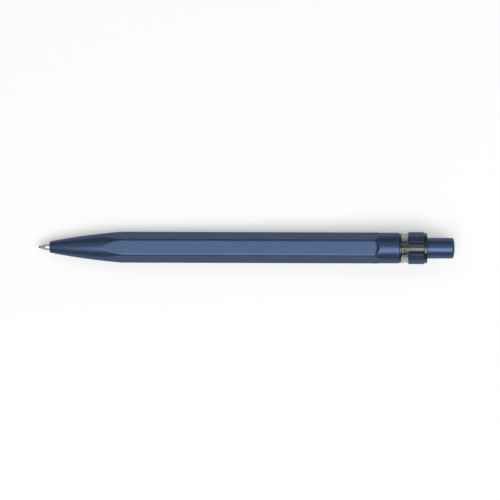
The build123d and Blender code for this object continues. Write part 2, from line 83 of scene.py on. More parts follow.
axis_z = joints["rotor_turn"]["pos_m"][2]
print("pen box in mm:", [round(size / MM, 2) for size in cad_high - cad_low])

# %% [markdown]
# ## Places along the pen
#
# A fitter reads positions off the parts that are already there. Each piece below takes its ends and
# its outer radius from the box of the CAD node that it covers, so the two can never drift apart.


# %% Read the ends and radii of the CAD nodes
def ends(node):
    """Where a node starts and stops along the pen."""
    low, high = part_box(node)
    return low.x, high.x


def radius(node):
    """Half of a node's width across the pen."""
    low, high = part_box(node)
    return (high.y - low.y) / 2


nose_x, rim_x = ends("barrel")
rim_ring_front_x, rim_ring_rear_x = ends("rim_ring")
housing_front_x, neck_rear_x = ends("mechanism_housing")
clip_front_x, clip_rear_x = ends("clip_collar")
ring_front_x, ring_rear_x = ends("end_ring")
button_front_x, button_end_x = ends("push_button")
apothem = mounts["camera_flat"]["pos_m"][2] - axis_z
corner_reach = radius("barrel")
round_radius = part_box("barrel")[1].z - axis_z
print("across flats", round(2 * apothem / MM, 2), "across corners", round(2 * corner_reach / MM, 2))

# %% [markdown]
# ## Camera
#
# The photographer looked straight down at the pen with a long lens, so the pen shows no perspective.
# A camera far above with a 300 mm lens does the same, and its height follows from how many pixels the
# pen fills. The pen lies a sixth of a degree out of level, so the camera rolls a little.

# %% Set the camera
IMAGE_PIXELS = 500
PEN_PIXELS = 416.0
PEN_MIDDLE_PIXEL = (246.7, 247.58)
PEN_ROLL_DEG = 0.18
LENS_MM = 300
SENSOR_MM = 36
CAMERA_REACH = 10

metres_per_pixel = (cad_high.x - cad_low.x) / PEN_PIXELS
view_width = IMAGE_PIXELS * metres_per_pixel
camera_data = bpy.data.cameras.new("above")
camera_data.lens = LENS_MM
camera_data.sensor_width = SENSOR_MM
camera_data.clip_end = CAMERA_REACH
camera = bpy.data.objects.new("above", camera_data)
camera.location = (
    (IMAGE_PIXELS / 2 - PEN_MIDDLE_PIXEL[0]) * metres_per_pixel,
    -(IMAGE_PIXELS / 2 - PEN_MIDDLE_PIXEL[1]) * metres_per_pixel,
    axis_z + view_width * LENS_MM / SENSOR_MM,
)
camera.rotation_euler = (0, 0, math.radians(PEN_ROLL_DEG))
bpy.context.scene.collection.objects.link(camera)
bpy.context.scene.camera = camera
bpy.context.scene.view_settings.view_transform = "Standard"
print("camera height in m:", round(camera.location.z, 3))

# %% [markdown]
# ## Node helpers
#
# Shaders and Geometry Nodes are both trees of nodes. One helper makes a node, sets its options and
# fills its inputs: an input takes either a plain value or the output of another node.


# %% Write the node helpers
def fill(tree, socket, value):
    """Puts a value, or a link from another node's output, into an input."""
    if isinstance(value, bpy.types.NodeSocket):
        tree.links.new(value, socket)
    else:
        socket.default_value = value


def fill_all(tree, node, inputs):
    """Fills inputs of a node by their names."""
    for key, value in inputs.items():
        fill(tree, node.inputs[key], value)


def add(tree, kind, inputs=None, **options):
    """A node of a tree, with its options set and its inputs filled or linked."""
    made = tree.nodes.new(kind)
    for option, value in options.items():
        setattr(made, option, value)
    fill_all(tree, made, inputs or {})
    return made


def sum_up(tree, operation, *values):
    """The output of one Math node."""
    made = add(tree, "ShaderNodeMath", operation=operation)
    for socket, value in zip(made.inputs, values):
        fill(tree, socket, value)
    return made.outputs[0]


def rescale(tree, value, from_low, from_high, to_low, to_high):
    """A value moved from one range to another, and held there."""
    sizes = {"From Min": from_low, "From Max": from_high, "To Min": to_low, "To Max": to_high}
    return add(tree, "ShaderNodeMapRange", {"Value": value, **sizes}).outputs[0]


print("helpers for nodes: fill, fill_all, add, sum_up, rescale")

# %% [markdown]
# ## Materials
#
# A material is a Principled shader with patterns plugged into it. The helpers below give the patterns
# that all finishes share. They read Object coordinates, so a pattern keeps its real size on every
# piece and moves along with it. An image could do the same, but would need a layout for each piece.

# %% Write the pattern helpers
MIX_FIRST_COLOUR, MIX_SECOND_COLOUR, MIX_COLOUR = 6, 7, 2
NOISE_RANGE = (0.3, 0.7)


def start_material(name):
    """An empty material with its tree, its shader and its object coordinates."""
    made = bpy.data.materials.new(name)
    made.use_nodes = True
    tree = made.node_tree
    shader = tree.nodes["Principled BSDF"]
    place = add(tree, "ShaderNodeTexCoord").outputs["Object"]
    return made, tree, shader, place


def noise(tree, place, scale, detail=2.0):
    """Soft noise, with a scale in features for each metre."""
    made = add(tree, "ShaderNodeTexNoise", {"Vector": place, "Scale": scale, "Detail": detail})
    return made.outputs["Fac"]


def two_tones(tree, factor, dark, light):
    """A colour between two tones. A Mix node has several inputs A and B; its colours go by number."""
    made = add(tree, "ShaderNodeMix", {"Factor": factor}, data_type="RGBA")
    fill(tree, made.inputs[MIX_FIRST_COLOUR], (*dark, 1))
    fill(tree, made.inputs[MIX_SECOND_COLOUR], (*light, 1))
    return made.outputs[MIX_COLOUR]


def shade(tone, share):
    """A tone made darker or lighter, but never brighter than white."""
    return [min(1.0, share * part) for part in tone]


def swing(tree, pattern, middle, spread, pattern_range=NOISE_RANGE):
    """A value that swings about a middle while a pattern goes through its range."""
    return rescale(tree, pattern, *pattern_range, middle - spread, middle + spread)


def bump(tree, height, depth, strength):
    """A surface normal tilted by a height field of a given depth in metres."""
    made = add(tree, "ShaderNodeBump", {"Height": height, "Distance": depth, "Strength": strength})
    return made.outputs["Normal"]


print("helpers for patterns: noise, two_tones, shade, swing, bump")

# %% [markdown]
# The navy pieces are moulded from plastic with a fine metallic pigment. Three things tell that apart
# from plain paint: the gloss is tinted, because it comes from flakes inside the plastic; the flakes
# differ a little from one to the next; and the skin carries the fine grain of an etched mould. So the
# base colour is broken up by cells the size of a flake, and a finer noise makes the grain.

# %% Mix the plastics
NAVY = (0.053, 0.088, 0.168)
NAVY_ROUGHNESS = 0.36
NAVY_SPREAD = 0.14
FLAKES_PER_METRE = 5200.0
FLAKE_SHARE = 0.35
FLAKE_GLOSS = (0.56, 0.52, 0.46, 1)
CLOUDS_PER_METRE = 320.0
GRAINS_PER_METRE = 9000.0
GRAIN_DEPTH = 0.004 * MM
FLOWS_PER_METRE = 700.0
FLOW_DARK, FLOW_LIGHT = 0.88, 1.1
SKIN_GRAINS_PER_METRE = 6000.0
SKIN_DEPTH = 0.003 * MM


def navy_plastic(name, tone, roughness=NAVY_ROUGHNESS):
    """Satin navy plastic with metallic flakes and the grain of an etched mould."""
    made, tree, shader, place = start_material(name)
    cells = add(tree, "ShaderNodeTexVoronoi", {"Vector": place, "Scale": FLAKES_PER_METRE})
    flake = add(tree, "ShaderNodeSeparateColor", {"Color": cells.outputs["Color"]}).outputs[0]
    cloud = noise(tree, place, CLOUDS_PER_METRE, detail=3.0)
    clouded = sum_up(tree, "MULTIPLY", cloud, 1 - FLAKE_SHARE)
    mixed = sum_up(tree, "MULTIPLY_ADD", flake, FLAKE_SHARE, clouded)
    grain = noise(tree, place, GRAINS_PER_METRE)
    dark, light = shade(tone, 1 - NAVY_SPREAD), shade(tone, 1 + NAVY_SPREAD)
    finish = {
        "Base Color": two_tones(tree, mixed, dark, light),
        "Roughness": swing(tree, grain, roughness, spread=0.03),
        "Normal": bump(tree, grain, GRAIN_DEPTH, strength=0.5),
        "Metallic": 0.72,
        "Specular IOR Level": 0.5,
        "Specular Tint": FLAKE_GLOSS,
    }
    fill_all(tree, shader, finish)
    return made


def plain_plastic(name, tone, roughness, clearness=0.0, metallic=0.0):
    """Moulded plastic of one colour, with faint flow marks."""
    made, tree, shader, place = start_material(name)
    flow = noise(tree, place, FLOWS_PER_METRE, detail=4.0)
    skin = noise(tree, place, SKIN_GRAINS_PER_METRE)
    finish = {
        "Base Color": two_tones(tree, flow, shade(tone, FLOW_DARK), shade(tone, FLOW_LIGHT)),
        "Roughness": swing(tree, flow, roughness, spread=0.05),
        "Normal": bump(tree, skin, SKIN_DEPTH, strength=0.4),
        "Transmission Weight": clearness,
        "Metallic": metallic,
    }
    fill_all(tree, shader, finish)
    return made


barrel_navy = navy_plastic("barrel navy", NAVY)
clip_navy = navy_plastic("clip navy", shade(NAVY, 0.95))
button_navy = navy_plastic("button navy", shade(NAVY, 1.14), roughness=0.34)
ring_black = plain_plastic("ring black", (0.055, 0.062, 0.078), roughness=0.2, metallic=0.85)
print("plastics:", barrel_navy.name, clip_navy.name, button_navy.name, ring_black.name)

# %% [markdown]
# The band is a thick ring of clear plastic with a smoky dye. It shows the dark stem in the middle and
# the white table at its sides. Refraction is one way to make it. But a hollow ring bends light in and
# out again at its inner and its outer wall, so what lies behind hardly shifts, and all that is left of
# refraction is grain in the render. Each wall is therefore a see-through grey film, with a stronger
# gloss because part of it is lost along with the film.

# %% Mix the clear plastic
SMOKE_DARK = (0.075, 0.074, 0.073)
SMOKE_LIGHT = (0.097, 0.096, 0.095)
SMOKE_CLOUDS_PER_METRE = 420.0
FILM_ALPHA = 0.36
FILM_ROUGHNESS = 0.13
WAVES_PER_METRE = 900.0
WAVE_DEPTH = 0.001 * MM


def smoky_plastic():
    """Polished see-through plastic with a smoky tint and faint waves in its surface."""
    made, tree, shader, place = start_material("smoky clear")
    dye = noise(tree, place, SMOKE_CLOUDS_PER_METRE)
    waves = noise(tree, place, WAVES_PER_METRE)
    finish = {
        "Base Color": two_tones(tree, dye, SMOKE_DARK, SMOKE_LIGHT),
        "Alpha": swing(tree, dye, FILM_ALPHA, spread=0.03),
        "Roughness": swing(tree, waves, FILM_ROUGHNESS, spread=0.03),
        "Normal": bump(tree, waves, WAVE_DEPTH, strength=0.2),
        "IOR": 1.58,
        "Specular IOR Level": 1.0,
    }
    fill_all(tree, shader, finish)
    return made


smoky_clear = smoky_plastic()
print("clear plastic:", smoky_clear.name)

# %% [markdown]
# Turned metal keeps the fine rings of the tool. On the point they run round the axis, so a wave along
# X makes them. Drawn wire and the carbide ball have no rings, only a fine mottle.

# %% Mix the metals
RING_SHADE = 0.9
RING_DEPTH = 0.001 * MM
WAVE_RANGE = (0.0, 1.0)
MOTTLE_SHADE = 0.75


def turned_metal(name, tone, roughness, rings, metallic=1.0):
    """Bright metal with the rings that a lathe leaves, at so many to the metre."""
    made, tree, shader, place = start_material(name)
    wave = {"Vector": place, "Scale": rings, "Distortion": 0.6, "Detail": 2.0}
    ring = add(tree, "ShaderNodeTexWave", wave, bands_direction="X").outputs["Fac"]
    finish = {
        "Base Color": two_tones(tree, ring, shade(tone, RING_SHADE), tone),
        "Roughness": swing(tree, ring, roughness, spread=0.04, pattern_range=WAVE_RANGE),
        "Normal": bump(tree, ring, RING_DEPTH, strength=0.4),
        "Metallic": metallic,
    }
    fill_all(tree, shader, finish)
    return made


def mottled_metal(name, tone, roughness, scale):
    """Metal with a fine mottle, at so many spots to the metre."""
    made, tree, shader, place = start_material(name)
    mottle = noise(tree, place, scale, detail=4.0)
    finish = {
        "Base Color": two_tones(tree, mottle, shade(tone, MOTTLE_SHADE), tone),
        "Roughness": swing(tree, mottle, roughness, spread=0.05),
        "Metallic": 1.0,
    }
    fill_all(tree, shader, finish)
    return made


point_metal = turned_metal("nickel silver", (0.72, 0.725, 0.73), 0.34, rings=4200.0, metallic=0.8)
holder_brass = turned_metal("turned brass", (0.78, 0.58, 0.27), 0.3, rings=2600.0)
wire_steel = mottled_metal("drawn wire", (0.58, 0.58, 0.6), 0.3, scale=4000.0)
ball_carbide = mottled_metal("carbide", (0.16, 0.16, 0.17), 0.25, scale=6000.0)
print("metals:", point_metal.name, holder_brass.name, wire_steel.name, ball_carbide.name)

# %% [markdown]
# ## Geometry Nodes trees
#
# Three trees make pieces of this pen. Each has named inputs for its sizes, moves vertices to places
# that it works out, and ends in the same way: smooth shading, real geometry and a material.


# %% Write the tree helpers
def start_tree(name, numbers, counts=()):
    """A Geometry Nodes tree with named inputs, and its group input and output nodes."""
    tree = bpy.data.node_groups.new(name, "GeometryNodeTree")
    sockets = [("Geometry", "Geometry")]
    sockets += [(key, "Float") for key in numbers]
    sockets += [(key, "Int") for key in counts]
    sockets += [("Material", "Material")]
    for key, kind in sockets:
        tree.interface.new_socket(key, in_out="INPUT", socket_type="NodeSocket" + kind)
    tree.interface.new_socket("Geometry", in_out="OUTPUT", socket_type="NodeSocketGeometry")
    given = tree.nodes.new("NodeGroupInput").outputs
    return tree, given, tree.nodes.new("NodeGroupOutput")


def position(tree):
    """Where each vertex is."""
    return add(tree, "GeometryNodeInputPosition").outputs[0]


def parts_of(tree, vector):
    """The X, Y and Z of a vector."""
    return add(tree, "ShaderNodeSeparateXYZ", {"Vector": vector}).outputs


def move_to(tree, geometry, x, y, z):
    """Geometry with each vertex moved to a place."""
    place = add(tree, "ShaderNodeCombineXYZ", {"X": x, "Y": y, "Z": z}).outputs[0]
    return add(tree, "GeometryNodeSetPosition", {"Geometry": geometry, "Position": place}).outputs[0]


def end_tree(tree, geometry, material, output):
    """The last nodes of each tree: smooth shading, real geometry and its material."""
    smooth = add(tree, "GeometryNodeSetShadeSmooth", {"Geometry": geometry})
    real = add(tree, "GeometryNodeRealizeInstances", {"Geometry": smooth.outputs[0]})
    dress = {"Geometry": real.outputs[0], "Material": material}
    fill(tree, output.inputs[0], add(tree, "GeometryNodeSetMaterial", dress).outputs[0])


print("helpers for trees: start_tree, position, parts_of, move_to, end_tree")

# %% [markdown]
# ## Turning
#
# Most of the pen is round, so most pieces start on a lathe. The section of a piece is a chain of
# points, X along the pen and Y out from the axis. The tree lays a grid out, one row for each point of
# the section and one column for each step round the axis, and moves every vertex to its place. The
# seam and the poles close when vertices that meet are merged. Another way is to extrude the section
# with Spin, but the tree keeps the section editable and gives the next tree a mesh to mill.

# %% Build the turning tree
GRID_SIZE = 1.0


def turning_tree():
    """Turns a chain of points about the pen's axis."""
    tree, given, output = start_tree("Turn a section", ["Axis Height", "Merge"], ["Steps Round"])
    size = add(tree, "GeometryNodeAttributeDomainSize", {"Geometry": given["Geometry"]})
    rows = size.outputs["Point Count"]
    columns = sum_up(tree, "ADD", given["Steps Round"], 1)
    spread = {"Size X": GRID_SIZE, "Size Y": GRID_SIZE, "Vertices X": rows, "Vertices Y": columns}
    grid = add(tree, "GeometryNodeMeshGrid", spread)
    flat = parts_of(tree, position(tree))
    along = sum_up(tree, "ADD", flat["X"], GRID_SIZE / 2)
    row = sum_up(tree, "ROUND", sum_up(tree, "MULTIPLY", along, sum_up(tree, "SUBTRACT", rows, 1)))
    section = add(
        tree,
        "GeometryNodeSampleIndex",
        {"Geometry": given["Geometry"], "Value": position(tree), "Index": row},
        data_type="FLOAT_VECTOR",
        domain="POINT",
    )
    point = parts_of(tree, section.outputs["Value"])
    angle = sum_up(tree, "MULTIPLY", flat["Y"], math.tau)
    across = sum_up(tree, "MULTIPLY", point["Y"], sum_up(tree, "COSINE", angle))
    up = sum_up(tree, "MULTIPLY", point["Y"], sum_up(tree, "SINE", angle))
    height = sum_up(tree, "ADD", up, given["Axis Height"])
    turned = move_to(tree, grid.outputs["Mesh"], point["X"], across, height)
    meet = {"Geometry": turned, "Distance": given["Merge"]}
    merged = add(tree, "GeometryNodeMergeByDistance", meet)
    end_tree(tree, merged.outputs[0], given["Material"], output)
    return tree


turn_section = turning_tree()
print("turning tree:", len(turn_section.nodes), "nodes")

# %% [markdown]
# A modifier that runs a tree takes its inputs by the identifier of each socket. When the tree has
# run, the result is copied to a plain mesh, because the finished piece carries no modifier.

# %% Write the piece helpers
MERGE = 0.002 * MM
SETTLE_MERGE = MERGE / 4
SHARP_DEG = 40.0
STEPS_ROUND = 192


def run_tree(piece, tree, **inputs):
    """Adds a Geometry Nodes modifier and sets its inputs by identifier."""
    modifier = piece.modifiers.new(tree.name, "NODES")
    modifier.node_group = tree
    for item in tree.interface.items_tree:
        key = item.name.lower().replace(" ", "_")
        if item.in_out == "INPUT" and key in inputs:
            modifier[item.identifier] = inputs[key]


def put_in_scene(name, mesh):
    """An object at the origin that shows a mesh."""
    piece = bpy.data.objects.new(name, mesh)
    bpy.context.scene.collection.objects.link(piece)
    return piece


def settle(piece, material, sharp_deg=SHARP_DEG):
    """Turns a piece with modifiers into a plain mesh with outward faces and clean shading."""
    graph = bpy.context.evaluated_depsgraph_get()
    mesh = bpy.data.meshes.new_from_object(piece.evaluated_get(graph))
    piece.modifiers.clear()
    old = piece.data
    piece.data = mesh
    bpy.data.meshes.remove(old)
    mesh.name = piece.name
    shell = bmesh.new()
    shell.from_mesh(mesh)
    bmesh.ops.remove_doubles(shell, verts=shell.verts, dist=SETTLE_MERGE)
    bmesh.ops.recalc_face_normals(shell, faces=shell.faces)
    if shell.calc_volume(signed=True) < 0:
        bmesh.ops.reverse_faces(shell, faces=shell.faces)
    shell.to_mesh(mesh)
    shell.free()
    mesh.materials.clear()
    mesh.materials.append(material)
    for face in mesh.polygons:
        face.material_index = 0
        face.use_smooth = True
    mesh.set_sharp_from_angle(angle=math.radians(sharp_deg))
    triangles = sum(len(face.vertices) - 2 for face in mesh.polygons)
    print(piece.name, "triangles:", triangles)
    return piece


def turn(name, section, material, steps_round=STEPS_ROUND):
    """A turned piece from (x, radius) points in metres; it still carries its tree."""
    mesh = bpy.data.meshes.new(name)
    chain = [(step, step + 1) for step in range(len(section) - 1)]
    mesh.from_pydata([(x, out, 0) for x, out in section], chain, [])
    piece = put_in_scene(name, mesh)
    run_tree(
        piece,
        turn_section,
        axis_height=axis_z,
        merge=MERGE,
        steps_round=steps_round,
        material=material,
    )
    return piece


print("helpers for pieces: run_tree, put_in_scene, settle, turn")

# %% [markdown]
# No moulded or turned edge is perfectly sharp, and it is the tiny round on an edge that catches the
# light. A section is therefore written as corners, each with its own rounding, and a helper swaps
# each rounded corner for a short arc.

# %% Write the section helpers
ARC_STEPS = 5


def rounded_section(corners, closed=True):
    """Points of a section from (x, radius, rounding) corners."""
    points = []
    count = len(corners)
    for index, (x, out, rounding) in enumerate(corners):
        here = Vector((x, out))
        at_end = not closed and index in (0, count - 1)
        if at_end or rounding == 0:
            points.append((x, out))
            continue
        before = Vector(corners[index - 1][:2]) - here
        after = Vector(corners[(index + 1) % count][:2]) - here
        half = before.angle(after) / 2
        inwards = (before.normalized() + after.normalized()).normalized()
        centre = here + inwards * rounding / math.sin(half)
        start = here + before.normalized() * rounding / math.tan(half) - centre
        end = here + after.normalized() * rounding / math.tan(half) - centre
        for step in range(ARC_STEPS + 1):
            spot = centre + start.slerp(end, step / ARC_STEPS) * rounding
            points.append((spot.x, spot.y))
    if closed:
        points.append(points[0])
    return points


def divided(start, end, steps):
    """Points from a start up to, but without, an end."""
    return [
        (
            start[0] + (end[0] - start[0]) * step / steps,
            start[1] + (end[1] - start[1]) * step / steps,
        )
        for step in range(steps)
    ]


def arc_through(start, end, bulge, steps):
    """Points on a flat arc that rises above its chord by bulge, without its end."""
    start, end = Vector(start), Vector(end)
    chord = end - start
    side = Vector((-chord.y, chord.x)).normalized()
    radius_of_arc = (chord.length**2 / 4 + bulge**2) / (2 * bulge)
    centre = (start + end) / 2 - side * (radius_of_arc - bulge)
    points = []
    for step in range(steps):
        way = (start - centre).slerp(end - centre, step / steps)
        spot = centre + way * abs(radius_of_arc)
        points.append((spot.x, spot.y))
    return points


print("points on each rounded corner:", ARC_STEPS + 1)

# %% [markdown]
# ## Barrel
#
# The barrel follows a rule: a turned bar with six flats. Where the nose tapers, each flat runs out in
# a pointed curve, as on a sharpened pencil. At the rear each flat ends in a curve, and slopes up there
# to the round end, as if a conical cutter had stopped. All of that falls out of taking, at every
# point, the smaller of two radii, the bar's and the flats'. A second tree does this to the turned
# mesh, and the smooth forms of minimum and maximum leave the small rounding that a mould has. Cutting
# with Boolean blocks would give the same shape, with long thin faces that shade badly.


# %% Build the milling tree
def hypotenuse(tree, one, other):
    """The length of a line from its two parts."""
    squares = sum_up(tree, "MULTIPLY_ADD", one, one, sum_up(tree, "MULTIPLY", other, other))
    return sum_up(tree, "SQRT", squares)


def milling_tree():
    """Mills six flats on a turned bar, each with a curved rear end that slopes up."""
    sizes = ["Axis Height", "Apothem", "Corner Softness", "Edge Softness"]
    sizes += ["End Centre", "End Radius", "End Slope"]
    tree, given, output = start_tree("Mill six flats", sizes)
    place = parts_of(tree, position(tree))
    along, across = place["X"], place["Y"]
    up = sum_up(tree, "SUBTRACT", place["Z"], given["Axis Height"])
    bar = hypotenuse(tree, across, up)
    half_flat = math.pi / 6
    from_corner = sum_up(tree, "PINGPONG", sum_up(tree, "ARCTAN2", up, across), half_flat)
    from_middle = sum_up(tree, "SUBTRACT", half_flat, from_corner)
    near = sum_up(tree, "COSINE", from_middle)
    far = sum_up(tree, "COSINE", sum_up(tree, "ADD", half_flat, from_corner))
    facing = sum_up(tree, "SMOOTH_MAX", near, far, given["Corner Softness"])
    past_centre = sum_up(tree, "MAXIMUM", sum_up(tree, "SUBTRACT", along, given["End Centre"]), 0.0)
    beside = sum_up(tree, "MULTIPLY", bar, sum_up(tree, "SINE", from_middle))
    past_end = sum_up(tree, "SUBTRACT", hypotenuse(tree, past_centre, beside), given["End Radius"])
    climb = sum_up(tree, "MAXIMUM", past_end, 0.0)
    height = sum_up(tree, "MULTIPLY_ADD", climb, given["End Slope"], given["Apothem"])
    flats = sum_up(tree, "DIVIDE", height, facing)
    milled = sum_up(tree, "SMOOTH_MIN", bar, flats, given["Edge Softness"])
    scale = sum_up(tree, "DIVIDE", milled, bar)
    new_across = sum_up(tree, "MULTIPLY", across, scale)
    new_up = sum_up(tree, "MULTIPLY_ADD", up, scale, given["Axis Height"])
    cut = move_to(tree, given["Geometry"], along, new_across, new_up)
    end_tree(tree, cut, given["Material"], output)
    return tree


mill_flats = milling_tree()
print("milling tree:", len(mill_flats.nodes), "nodes")

# %% [markdown]
# The bar is drawn as one closed section: along the outside from the nose to the rim, and back through
# the bores. It stands a little proud of the corners, so that the flats decide where these lie. The
# rows are close together where the flats run out, because the milling moves vertices and can only
# follow a curve as finely as they lie.

# %% Draw the barrel's section
NOSE_LENGTH = 24.8 * MM
NOSE_FRONT_RADIUS = 1.89 * MM
NOSE_BULGE = 0.37 * MM
NOSE_LIP = 0.3 * MM
NOSE_RUNOUT = 2.0 * MM
CORNER_COVER = 0.15 * MM
CORNER_RUNOUT = 1.9 * MM
ROUND_LENGTH = 6.75 * MM
SHOULDER_LENGTH = 0.9 * MM
FLAT_END_RADIUS = 4.5 * MM
COVER_SETBACK = FLAT_END_RADIUS / 2
FINE_SETBACK = FLAT_END_RADIUS / 3
RIM_ROUND = 0.2 * MM
NOSE_HOLE_RADIUS = 1.35 * MM
SPRING_SEAT_DEPTH = 6.8 * MM
SPRING_POCKET_RADIUS = 2.35 * MM
POCKET_END = 20.5 * MM
BORE_START = 21.7 * MM
BORE_RADIUS = 3.54 * MM
COUNTERBORE_LENGTH = 5.55 * MM
COUNTERBORE_RADIUS = 4.19 * MM
NOSE_ROWS = 130
RUNOUT_ROWS = 10
PRISM_ROWS = 30
COVER_ROWS = 5
REAR_ROWS = 44
ROUND_ROWS = 11
round_x = rim_x - ROUND_LENGTH
flat_end_x = round_x - SHOULDER_LENGTH


def barrel_section():
    """The barrel's section before milling: nose, bar, round end, then the bore back to the front."""
    lip_start = (nose_x, NOSE_FRONT_RADIUS - NOSE_LIP)
    nose_end = (nose_x + NOSE_LENGTH, corner_reach)
    ogive = arc_through((nose_x, NOSE_FRONT_RADIUS), nose_end, NOSE_BULGE, NOSE_ROWS)
    ogive = [spot for spot in ogive if spot[0] > nose_x + NOSE_LIP]
    lip = rounded_section(
        [(*lip_start, 0), (nose_x, NOSE_FRONT_RADIUS, NOSE_LIP), (*ogive[0], 0)], closed=False
    )
    cover_radius = corner_reach + CORNER_COVER
    bar_start = (nose_end[0] + NOSE_RUNOUT, cover_radius)
    cover_end = (flat_end_x - COVER_SETBACK, cover_radius)
    fine_start = (flat_end_x - FINE_SETBACK, corner_reach)
    still_high = (corner_reach - round_radius) / (cover_radius - round_radius)
    bar_end = (round_x - CORNER_RUNOUT * still_high, corner_reach)
    round_start = (round_x, round_radius)
    outside = lip[:-1] + ogive
    outside += divided(nose_end, bar_start, RUNOUT_ROWS)
    outside += divided(bar_start, cover_end, PRISM_ROWS)
    outside += divided(cover_end, fine_start, COVER_ROWS)
    outside += divided(fine_start, bar_end, REAR_ROWS)
    outside += divided(bar_end, round_start, ROUND_ROWS)
    outside += divided(round_start, (rim_x - RIM_ROUND, round_radius), ROUND_ROWS)
    rim = rounded_section(
        [
            (rim_x - 2 * RIM_ROUND, round_radius, 0),
            (rim_x, round_radius, RIM_ROUND),
            (rim_x, COUNTERBORE_RADIUS, 0),
        ],
        closed=False,
    )
    seat_x = nose_x + SPRING_SEAT_DEPTH
    inside = [
        (rim_x - COUNTERBORE_LENGTH, COUNTERBORE_RADIUS),
        (rim_x - COUNTERBORE_LENGTH, BORE_RADIUS),
        (nose_x + BORE_START, BORE_RADIUS),
        (nose_x + POCKET_END, SPRING_POCKET_RADIUS),
        (seat_x, SPRING_POCKET_RADIUS),
        (seat_x, NOSE_HOLE_RADIUS),
        (nose_x, NOSE_HOLE_RADIUS),
        lip_start,
    ]
    return outside + rim[1:] + inside


print("points of the barrel's section:", len(barrel_section()))

# %% Turn and mill the barrel
BARREL_STEPS_ROUND = 216
EDGE_SOFTNESS = 0.06 * MM
# Softness for each part that the rounding takes off a sharp corner.
CORNER_ROUNDING = 8.4
sharp_share = math.cos(math.pi / 6)

barrel = turn("barrel_shell", barrel_section(), barrel_navy, BARREL_STEPS_ROUND)
run_tree(
    barrel,
    mill_flats,
    axis_height=axis_z,
    apothem=apothem,
    corner_softness=CORNER_ROUNDING * (apothem / corner_reach - sharp_share),
    edge_softness=EDGE_SOFTNESS,
    end_centre=flat_end_x - FLAT_END_RADIUS,
    end_radius=FLAT_END_RADIUS,
    end_slope=(round_radius - apothem) / SHOULDER_LENGTH,
    material=barrel_navy,
)
settle(barrel, barrel_navy)
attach(barrel, "barrel")
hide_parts("barrel")

# %% [markdown]
# ## Clear housing
#
# The housing is one clear moulding: a skirt inside the barrel, the band that shows, and a neck under
# the clip with a raised key in the clip's slot. Light goes through it, so it has to be one closed skin
# with no walls inside it. The round part is turned, the key is a short crowned bar, and a Boolean union
# joins the two.

# %% Draw the housing's section
SKIRT_RADIUS = 4.14 * MM
SKIRT_BORE = 3.54 * MM
STEM_BORE = 1.68 * MM
STEM_GUIDE_LENGTH = 0.6 * MM
CHAMBER_RADIUS = 3.2 * MM
BUTTON_BORE = 3.62 * MM
NECK_RADIUS = 4.12 * MM
BAND_WIDTH = 3.05 * MM
GROOVE_SETBACK = 0.7 * MM
GROOVE_WIDTH = 0.75 * MM
GROOVE_DEPTH = 0.18 * MM
CLEAR_ROUND = 0.06 * MM
SEAT_GAP = 0.05 * MM
band_radius = radius("mechanism_housing")
band_rear_x = rim_x + BAND_WIDTH


def housing_section():
    """The housing's section, from the skirt back to the neck and through the bores."""
    groove_rear_x = band_rear_x - GROOVE_SETBACK
    groove_front_x = groove_rear_x - GROOVE_WIDTH
    groove_radius = band_radius - GROOVE_DEPTH
    band_front_x = rim_ring_rear_x + SEAT_GAP
    skirt_floor_x = band_front_x - STEM_GUIDE_LENGTH
    corners = [
        (housing_front_x, SKIRT_RADIUS, CLEAR_ROUND),
        (band_front_x, SKIRT_RADIUS, 0),
        (band_front_x, band_radius, CLEAR_ROUND),
        (groove_front_x, band_radius, CLEAR_ROUND),
        (groove_front_x + GROOVE_DEPTH, groove_radius, CLEAR_ROUND),
        (groove_rear_x - GROOVE_DEPTH, groove_radius, CLEAR_ROUND),
        (groove_rear_x, band_radius, CLEAR_ROUND),
        (band_rear_x, band_radius, CLEAR_ROUND),
        (band_rear_x, NECK_RADIUS, 0),
        (neck_rear_x, NECK_RADIUS, CLEAR_ROUND),
        (neck_rear_x, BUTTON_BORE, CLEAR_ROUND),
        (band_rear_x, BUTTON_BORE, 0),
        (band_rear_x, CHAMBER_RADIUS, 0),
        (band_front_x, CHAMBER_RADIUS, 0),
        (band_front_x, STEM_BORE, 0),
        (skirt_floor_x, STEM_BORE, 0),
        (skirt_floor_x, SKIRT_BORE, 0),
        (housing_front_x, SKIRT_BORE, CLEAR_ROUND),
    ]
    return rounded_section(corners)


print("points of the housing's section:", len(housing_section()))

# %% [markdown]
# The key, and later the parts of the clip, don't run round the axis. Each is a row of sections, so it
# is lofted: a strip of faces from one section to the next and a cap at both ends. The Boolean that
# joins them needs closed meshes, and this way gives closed ones.


# %% Write the loft and join helpers
def stand_up(name, shell):
    """An object from a finished bmesh, with its faces outwards."""
    bmesh.ops.recalc_face_normals(shell, faces=shell.faces)
    mesh = bpy.data.meshes.new(name)
    shell.to_mesh(mesh)
    shell.free()
    return put_in_scene(name, mesh)


def loft(name, sections):
    """A closed object through sections of equally many points."""
    shell = bmesh.new()
    rows = [[shell.verts.new(point) for point in section] for section in sections]
    for this, following in zip(rows, rows[1:]):
        for index in range(len(this)):
            after = (index + 1) % len(this)
            shell.faces.new((this[index], this[after], following[after], following[index]))
    shell.faces.new(rows[0])
    shell.faces.new(reversed(rows[-1]))
    return stand_up(name, shell)


def unite(piece, *others):
    """Joins other closed meshes to a piece with exact Booleans."""
    for other in others:
        modifier = piece.modifiers.new("join", "BOOLEAN")
        modifier.operation = "UNION"
        modifier.solver = "EXACT"
        modifier.object = other


def discard(*pieces):
    """Removes helper objects and their meshes."""
    for piece in pieces:
        mesh = piece.data
        bpy.data.objects.remove(piece)
        bpy.data.meshes.remove(mesh)


print("helpers for lofts and joins: stand_up, loft, unite, discard")

